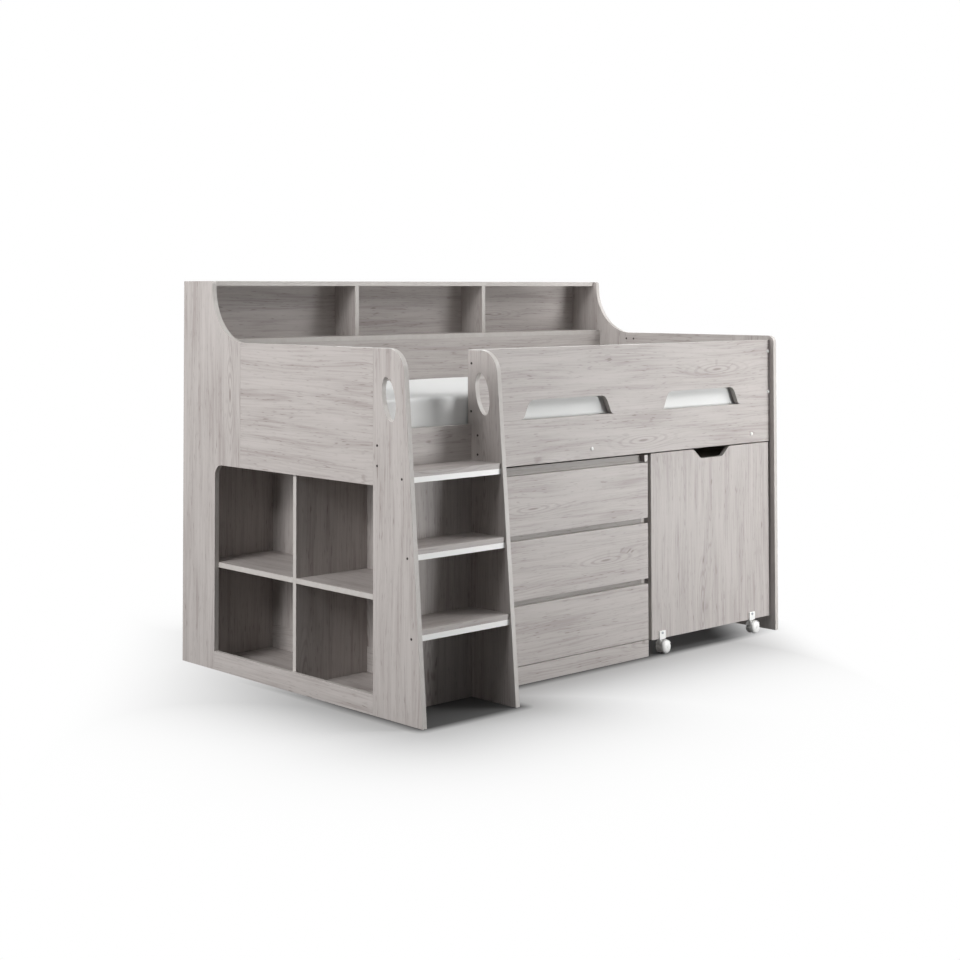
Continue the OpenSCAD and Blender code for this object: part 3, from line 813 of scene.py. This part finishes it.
@dataclass(frozen=True)
class ScrewRow:
    """Screws that share a body, a finish and the way they face."""

    name: str
    body: str
    out: tuple[float, float, float]
    places: tuple[tuple[float, float, float], ...]

    def dress(self, finish: Material, head: SocketHead) -> None:
        """Builds the row's heads as one piece.

        Args:
            finish: Their material.
            head: Their shape.
        """
        mesh = bpy.data.meshes.new(self.name)
        work = bmesh.new()
        for place in self.places:
            head.add(work, Vector(place), Vector(self.out))
        work.to_mesh(mesh)
        work.free()
        piece = bpy.data.objects.new(self.name, mesh)
        bpy.context.scene.collection.objects.link(piece)
        coat(piece, [finish])
        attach(piece, self.body)
        log.info("screws: %s, %d", self.name, len(self.places))


@dataclass
class Screws:
    """The screws that the ladder, the end panels and the castor brackets are held with."""

    head: SocketHead = field(default_factory=SocketHead)
    bracket_head: SocketHead = field(default_factory=lambda: SocketHead(radius=5.4 * MM, height=1.6 * MM))
    bed: tuple[ScrewRow, ...] = (
        ScrewRow("screws_ladder_left", "bed", (-1, 0, 0), (
            (-1.02, -0.4530, 0.861), (-1.02, -0.4530, 0.796), (-1.02, -0.5760, 0.763), (-1.02, -0.6030, 0.518),
            (-1.02, -0.6220, 0.270))),
        ScrewRow("screws_ladder_right", "bed", (1, 0, 0), (
            (-0.602, -0.5760, 0.763), (-0.602, -0.6030, 0.518), (-0.602, -0.6220, 0.270))),
        ScrewRow("screws_ladder_inner", "bed", (-1, 0, 0), (
            (-0.62, -0.4640, 1.112), (-0.62, -0.4620, 0.951), (-0.62, -0.4940, 0.872), (-0.62, -0.4940, 0.808))),
        ScrewRow("screws_right_end", "bed", (-1, 0, 0), ((1.002, 0.3110, 1.147), (1.002, 0.2690, 1.147))),
        ScrewRow("screws_left_end", "bed", (1, 0, 0), ((-1.002, 0.3110, 1.147), (-1.002, 0.2690, 1.147))))
    desk: tuple[ScrewRow, ...] = (
        ScrewRow("screws_castor_brackets", "desk", (0, -1, 0), ((0.343, -0.466, 0.079), (0.878, -0.466, 0.079))),)

    def dress(self, finishes: Finishes) -> None:
        """Builds every row.

        Args:
            finishes: The bed's finishes.
        """
        for row in self.bed:
            row.dress(finishes.black_screw, self.head)
        for row in self.desk:
            row.dress(finishes.zinc, self.bracket_head)


@dataclass
class Mattress:
    """The foam mattress in its knitted cover, swollen by a short cloth simulation.

    The cover is drawn as a gridded block with close edges, fuller than the CAD solid and inside its box.
    """

    node: str = "mattress"
    cell: float = 30 * MM
    edge: float = 15 * MM
    corner: float = 42 * MM
    crown: float = 3 * MM
    cap: float = 4 * MM
    crease: float = 1.3 * MM
    crease_size: tuple[float, float, float] = (0.16, 0.16, 0.11)
    crease_spread: float = 2.2
    fine_crease: float = 2.3
    fine_share: float = 0.5
    edge_cuts: tuple[float, ...] = (0.12, 0.35, 0.65, 1.0)
    stretch: float = 25.0
    bending: float = 2.0
    fill: float = 0.9
    pressure: float = 4.0
    last_frame: int = 20

    def cuts(self, half: float) -> list[float]:
        """Where one direction of the block is cut, close together at its edges.

        Args:
            half: Half the block's length in that direction.

        Returns:
            The places, from one side to the other.
        """
        near = [half - self.edge * k for k in self.edge_cuts] + [half - self.corner]
        count = max(2, math.ceil(2 * near[-1] / self.cell))
        inner = [near[-1] * (2 * i / count - 1) for i in range(1, count)]
        return [-p for p in near] + inner + near

    def block(self, half: Vector) -> bmesh.types.BMesh:
        """A closed block round the origin, cut into cells, with rounded edges and corners.

        Args:
            half: Half its length, width and height.

        Returns:
            The mesh.
        """
        work = bmesh.new()
        bmesh.ops.create_cube(work, size=2.0)
        bmesh.ops.scale(work, verts=work.verts, vec=half)
        for axis in range(3):
            normal = Vector([float(i == axis) for i in range(3)])
            for place in self.cuts(half[axis]):
                geometry = work.verts[:] + work.edges[:] + work.faces[:]
                bmesh.ops.bisect_plane(work, geom=geometry, plane_co=normal * place, plane_no=normal)
        for vertex in work.verts:
            self.round_over(vertex.co, half)
        return work

    def round_over(self, point: Vector, half: Vector) -> None:
        """Moves one point of the square block on to the rounded one.

        Args:
            point: The point, changed in place.
            half: Half the block's length, width and height.
        """
        inset = min(half.x - abs(point.x), half.y - abs(point.y))
        over, rise = self.edge - inset, abs(point.z) - (half.z - self.edge)
        if over > 0 and rise > 0:
            share = max(over, rise) / math.hypot(over, rise)
            inset = self.edge - over * share
            point.z = math.copysign(half.z - self.edge + rise * share, point.z)
            point.x = math.copysign(min(abs(point.x), half.x - inset), point.x)
            point.y = math.copysign(min(abs(point.y), half.y - inset), point.y)
        side = (abs(point.x) - (half.x - self.corner), abs(point.y) - (half.y - self.corner))
        if min(side) > 0:
            share = max(side) / math.hypot(*side)
            point.x = math.copysign(half.x - self.corner + side[0] * share, point.x)
            point.y = math.copysign(half.y - self.corner + side[1] * share, point.y)

    def swell(self, piece: Object) -> None:
        """Runs the cloth under pressure and keeps every point near its start.

        Args:
            piece: The block.
        """
        start = [v.co.copy() for v in piece.data.vertices]
        low = min(p.z for p in start)
        foot = piece.vertex_groups.new(name="foot")
        foot.add([i for i, p in enumerate(start) if p.z < low + self.edge], 1.0, "REPLACE")
        cloth = piece.modifiers.new("cover", "CLOTH")
        cloth.settings.use_pressure = True
        cloth.settings.uniform_pressure_force = self.pressure
        cloth.settings.tension_stiffness = cloth.settings.compression_stiffness = self.stretch
        cloth.settings.bending_stiffness = self.bending
        cloth.settings.vertex_group_mass = "foot"
        cloth.settings.effector_weights.gravity = 0
        cloth.collision_settings.use_collision = False
        for step in range(1, self.last_frame + 1):
            bpy.context.scene.frame_set(step)
        bpy.context.view_layer.objects.active = piece
        bpy.ops.object.modifier_apply(modifier="cover")
        for vertex, first in zip(piece.data.vertices, start):
            move = vertex.co - first
            if move.length > self.cap:
                vertex.co = first + move * (self.cap / move.length)
        bpy.context.scene.frame_set(1)

    def settle(self, piece: Object, half: Vector) -> None:
        """Creases the cover a little and keeps it inside the solid's box.

        Args:
            piece: The swollen block.
            half: Half the box's length, width and height.
        """
        normals = [v.normal.copy() for v in piece.data.vertices]
        for vertex, normal in zip(piece.data.vertices, normals):
            place = Vector([vertex.co[i] / self.crease_size[i] for i in range(3)])
            fold = abs(noise.noise(place)) + self.fine_share * abs(noise.noise(place * self.fine_crease))
            vertex.co -= normal * self.crease * (1 - min(1.0, self.crease_spread * fold))
            vertex.co = Vector([min(max(vertex.co[i], -half[i]), half[i]) for i in range(3)])

    def dress(self, finishes: Finishes) -> None:
        """Builds the mattress in place of its solid.

        Args:
            finishes: The bed's finishes.
        """
        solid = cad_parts[self.node]
        corners = [solid.matrix_world @ Vector(corner) for corner in solid.bound_box]
        low = Vector([min(c[i] for c in corners) for i in range(3)])
        high = Vector([max(c[i] for c in corners) for i in range(3)])
        box = (high - low) / 2
        half = Vector((box.x - self.crease, box.y - self.crease, box.z - self.crown / 2))
        work = self.block(half)
        for vertex in work.verts:
            if vertex.co.z > half.z - self.edge:
                arch = (1 - (vertex.co.x / half.x) ** 4) * (1 - (vertex.co.y / half.y) ** 2)
                vertex.co.z += self.crown * max(0.0, arch)
            vertex.co.z -= self.crown / 2
        mesh = bpy.data.meshes.new("mattress_cover")
        work.to_mesh(mesh)
        work.free()
        piece = bpy.data.objects.new("mattress_cover", mesh)
        piece.location = (low + high) / 2
        bpy.context.scene.collection.objects.link(piece)
        self.swell(piece)
        self.settle(piece, box)
        smooth = piece.modifiers.new("soft", "SUBSURF")
        smooth.levels = smooth.render_levels = 1
        bpy.context.view_layer.objects.active = piece
        bpy.ops.object.modifier_apply(modifier="soft")
        coat(piece, [finishes.cover])
        for face in piece.data.polygons:
            face.use_smooth = True
        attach(piece, "bed")
        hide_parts(self.node)
        log.info("mattress: %d faces", len(piece.data.polygons))


@dataclass(frozen=True)
class SoftBox:
    """A soft box round the bed that faces its middle.

    Its bearing is counted in degrees from the bed's left end towards the wall side, its rise in degrees over
    the middle of the bed. Distance, width and height are in metres, power is in watts.
    """

    name: str
    bearing: float
    rise: float
    distance: float
    width: float
    height: float
    power: float

    def hang(self, aim: Vector) -> None:
        """Adds the lamp.

        Args:
            aim: The point that the lamp faces.
        """
        bearing, rise = math.radians(self.bearing), math.radians(self.rise)
        flat = self.distance * math.cos(rise)
        light = bpy.data.lights.new(self.name, "AREA")
        light.shape = "RECTANGLE"
        light.size = self.width
        light.size_y = self.height
        light.energy = self.power
        box = bpy.data.objects.new(self.name, light)
        box.location = aim + Vector((-flat * math.cos(bearing), flat * math.sin(bearing),
                                     self.distance * math.sin(rise)))
        box.rotation_euler = (aim - box.location).to_track_quat("-Z", "Y").to_euler()
        bpy.context.scene.collection.objects.link(box)


@dataclass
class Studio:
    """A plain white studio and the camera at the photograph's place."""

    film_width: float = 36.0
    focal: float = 63.172
    shift: tuple[float, float] = (-0.0071, -0.258)
    eye: tuple[float, float, float] = (-4.4518, -4.6602, 1.3577)
    pitch: float = 91.969
    roll: float = 0.102
    yaw: float = -42.925
    sight: float = 200.0
    aim: tuple[float, float, float] = (0.0, 0.0, 0.6)
    boxes: tuple[SoftBox, ...] = (
        # These light the left end and reach into the cubes. The key's shadows are the crispest.
        SoftBox("key_left", -10.6, 28.0, 6.0, 0.9, 0.9, 54),
        SoftBox("left_broad", 5.0, 20.0, 5.5, 2.0, 1.5, 148),
        SoftBox("left_low", 0.0, 8.0, 6.0, 1.0, 1.0, 50),
        # The front faces get theirs from the right, over the ladder's far side
        SoftBox("front_right_low", -125.0, -3.0, 4.2, 1.2, 1.2, 116),
        SoftBox("front_right_high", -135.0, 35.0, 4.5, 1.6, 1.6, 58),
        SoftBox("right_broad", -150.0, 35.0, 4.6, 4.0, 3.0, 58),
        SoftBox("overhead", -90.0, 77.0, 4.5, 8.0, 7.0, 168),
        # The front camera doesn't see what these light: the back, the right end and the space below
        SoftBox("rear_right", 128.0, 18.0, 5.5, 3.0, 2.0, 120),
        SoftBox("rear_left", 82.0, 22.0, 5.5, 3.0, 2.0, 90),
    )
    floor_size: float = 60.0
    floor_drop: float = -0.2 * MM
    floor_tone: float = 0.45
    # The floor's painted shade for the eye under the ladder and the bed's front
    floor_painted_shade: float = 0.12
    floor_edge: float = 0.05
    floor_opens: tuple[float, float] = (-0.25, 0.3)
    floor_bounce: float = 0.1
    footprint: tuple[tuple[float, float, float, float], ...] = ((-1.02, 1.02, -0.46, 0.66), (-1.02, -0.6, -0.67, 0.0))
    shadow_reach: float = 0.34
    shadow_power: float = 1.5
    # Where the floor is painted white over the lamps' shadow: a direction, and where the white starts and is full
    shadow_painted_out: tuple[tuple[tuple[float, float, float], float, float], ...] = (
        ((1.0, 0.0, 0.0), 0.99, 1.2),
        ((0.8, -0.6, 0.0), 0.8, 1.22),
        ((-0.8, 0.6, 0.0), 0.55, 1.57),
    )

    def camera(self) -> None:
        """Sets the camera from the fit of the photograph's points."""
        lens = bpy.data.cameras.new("camera")
        lens.lens = self.focal
        lens.sensor_width = self.film_width
        lens.shift_x, lens.shift_y = self.shift
        lens.clip_end = self.sight
        camera = bpy.data.objects.new("camera", lens)
        camera.location = self.eye
        camera.rotation_euler = [math.radians(a) for a in (self.pitch, self.roll, self.yaw)]
        bpy.context.scene.collection.objects.link(camera)
        bpy.context.scene.camera = camera

    def world(self) -> None:
        """A surround that is white to the eye and to gloss, and dark to the bed, which the soft boxes light."""
        world = bpy.data.worlds.new("studio")
        world.use_nodes = True
        bpy.context.scene.world = world
        tree = world.node_tree
        tree.nodes.clear()
        white = add_node(tree, "ShaderNodeBackground", Color=(1, 1, 1, 1), Strength=self.seen(tree))
        add_node(tree, "ShaderNodeOutputWorld", Surface=white.outputs[0])

    def seen(self, tree: NodeTree) -> NodeSocket:
        """Whether a ray comes from the eye, straight or by gloss or through glass.

        Args:
            tree: The node tree.

        Returns:
            1 for such a ray, 0 for one that carries light to the bed.
        """
        path = add_node(tree, "ShaderNodeLightPath").outputs
        share = path["Is Camera Ray"]
        for kind in ("Is Glossy Ray", "Is Transmission Ray"):
            share = add_node(tree, "ShaderNodeMath", {"operation": "MAXIMUM"}, input_0=share,
                             input_1=path[kind]).outputs[0]
        return share

    def away(self, tree: NodeTree, box: tuple[float, float, float, float]) -> NodeSocket:
        """How far a point of the floor lies outside one box of the footprint.

        Args:
            tree: The floor's node tree.
            box: Its left, right, front and back, in metres.

        Returns:
            The distance, 0 inside the box.
        """
        left, right, front, back = box
        middle, half = ((left + right) / 2, (front + back) / 2, 0), ((right - left) / 2, (back - front) / 2, 0)
        past = add_node(tree, "ShaderNodeTexCoord").outputs["Object"]
        for step, value in (("SUBTRACT", middle), ("ABSOLUTE", middle), ("SUBTRACT", half), ("MAXIMUM", (0, 0, 0))):
            past = add_node(tree, "ShaderNodeVectorMath", {"operation": step}, input_0=past,
                            input_1=value).outputs["Vector"]
        return add_node(tree, "ShaderNodeVectorMath", {"operation": "LENGTH"}, input_0=past).outputs["Value"]

    def whiteness(self, tree: NodeTree, near: NodeSocket) -> NodeSocket:
        """How far the floor has turned into the white surround: 0 under the bed, nearly 1 a metre away.

        Args:
            tree: The floor's node tree.
            near: How far the floor's point lies outside the bed's footprint, in metres.

        Returns:
            The share of white.
        """
        left = near
        for step, value in (("DIVIDE", self.shadow_reach), ("POWER", self.shadow_power), ("MULTIPLY", -1.0),
                            ("EXPONENT", 0.0)):
            left = add_node(tree, "ShaderNodeMath", {"operation": step}, input_0=left, input_1=value).outputs[0]
        share = add_node(tree, "ShaderNodeMath", {"operation": "SUBTRACT"}, input_0=1.0, input_1=left).outputs[0]
        # Beyond the right end, in front of it and past the rear left corner the floor is painted white over the lamps'
        # shadow
        place = add_node(tree, "ShaderNodeTexCoord").outputs["Object"]
        for toward, start, end in self.shadow_painted_out:
            along = add_node(tree, "ShaderNodeVectorMath", {"operation": "DOT_PRODUCT"}, input_0=place, input_1=toward)
            beyond = add_node(tree, "ShaderNodeMapRange", {"interpolation_type": "SMOOTHSTEP"},
                              Value=along.outputs["Value"], From_Min=start, From_Max=end)
            share = add_node(tree, "ShaderNodeMath", {"operation": "MAXIMUM"}, input_0=share,
                             input_1=beyond.outputs["Result"]).outputs[0]
        return share

    def shade(self, tree: NodeTree, near: NodeSocket) -> NodeSocket:
        """The floor's grey, with painted shade in the sheltered places under the ladder and the bed's front.

        Args:
            tree: The floor's node tree.
            near: How far the floor's point lies outside the bed's footprint, in metres.

        Returns:
            The grey.
        """
        place = add_node(tree, "ShaderNodeTexCoord").outputs["Object"]
        depth = add_node(tree, "ShaderNodeSeparateXYZ", Vector=place).outputs["Y"]
        behind = add_node(tree, "ShaderNodeMapRange", Value=depth, From_Min=self.floor_opens[0],
                          From_Max=self.floor_opens[1]).outputs["Result"]
        outside = add_node(tree, "ShaderNodeMapRange", Value=near, From_Max=self.floor_edge).outputs["Result"]
        lit = add_node(tree, "ShaderNodeMath", {"operation": "MAXIMUM"}, input_0=behind, input_1=outside)
        # Painted shade: the grey drops inside the footprint, most towards its front
        return add_node(tree, "ShaderNodeMapRange", Value=lit.outputs[0], To_Min=self.floor_painted_shade,
                        To_Max=self.floor_tone).outputs["Result"]

    def floor(self) -> None:
        """A pale floor that is white to the eye a step away from the bed and keeps its shadow, with painted shade under
        the ladder and the bed's front.
        """
        bpy.ops.mesh.primitive_plane_add(size=self.floor_size, location=(0, 0, self.floor_drop))
        plane = bpy.context.object
        plane.name = "studio_floor"
        material = bpy.data.materials.new("pale_floor")
        material.use_nodes = True
        tree = material.node_tree
        tree.nodes.clear()
        seen = self.seen(tree)
        body, ladder = [self.away(tree, box) for box in self.footprint]
        near = add_node(tree, "ShaderNodeMath", {"operation": "MINIMUM"}, input_0=body, input_1=ladder).outputs[0]
        tone = add_node(tree, "ShaderNodeMix", {"data_type": "FLOAT"}, input_0=seen, input_2=self.floor_bounce,
                        input_3=self.shade(tree, near)).outputs[0]
        matt = add_node(tree, "ShaderNodeBsdfDiffuse", Color=tone)
        glow = add_node(tree, "ShaderNodeEmission", Color=(1, 1, 1, 1), Strength=1.0)
        share = add_node(tree, "ShaderNodeMath", {"operation": "MULTIPLY"}, input_0=seen,
                         input_1=self.whiteness(tree, near))
        both = add_node(tree, "ShaderNodeMixShader", Fac=share.outputs[0], input_1=matt.outputs[0],
                        input_2=glow.outputs[0])
        add_node(tree, "ShaderNodeOutputMaterial", Surface=both.outputs[0])
        plane.data.materials.append(material)

    def build(self) -> None:
        """Sets up camera, surround, floor and soft boxes."""
        bpy.context.scene.view_settings.view_transform = "Standard"
        self.camera()
        self.world()
        self.floor()
        for box in self.boxes:
            box.hang(Vector(self.aim))
        log.info("studio")


def main() -> None:
    """Dresses the bed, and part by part."""
    logging.basicConfig(level=logging.INFO, format="%(name)s %(message)s")
    finishes = Finishes.build()
    for part in (EndBoards(), Bookcase(), FrontGuards(), CubeStorage(), Ladder(), SlatBase(), Chest(), Desk(),
                 Screws(), Mattress()):
        part.dress(finishes)
    Studio().build()


if __name__ == "__main__":
    main()
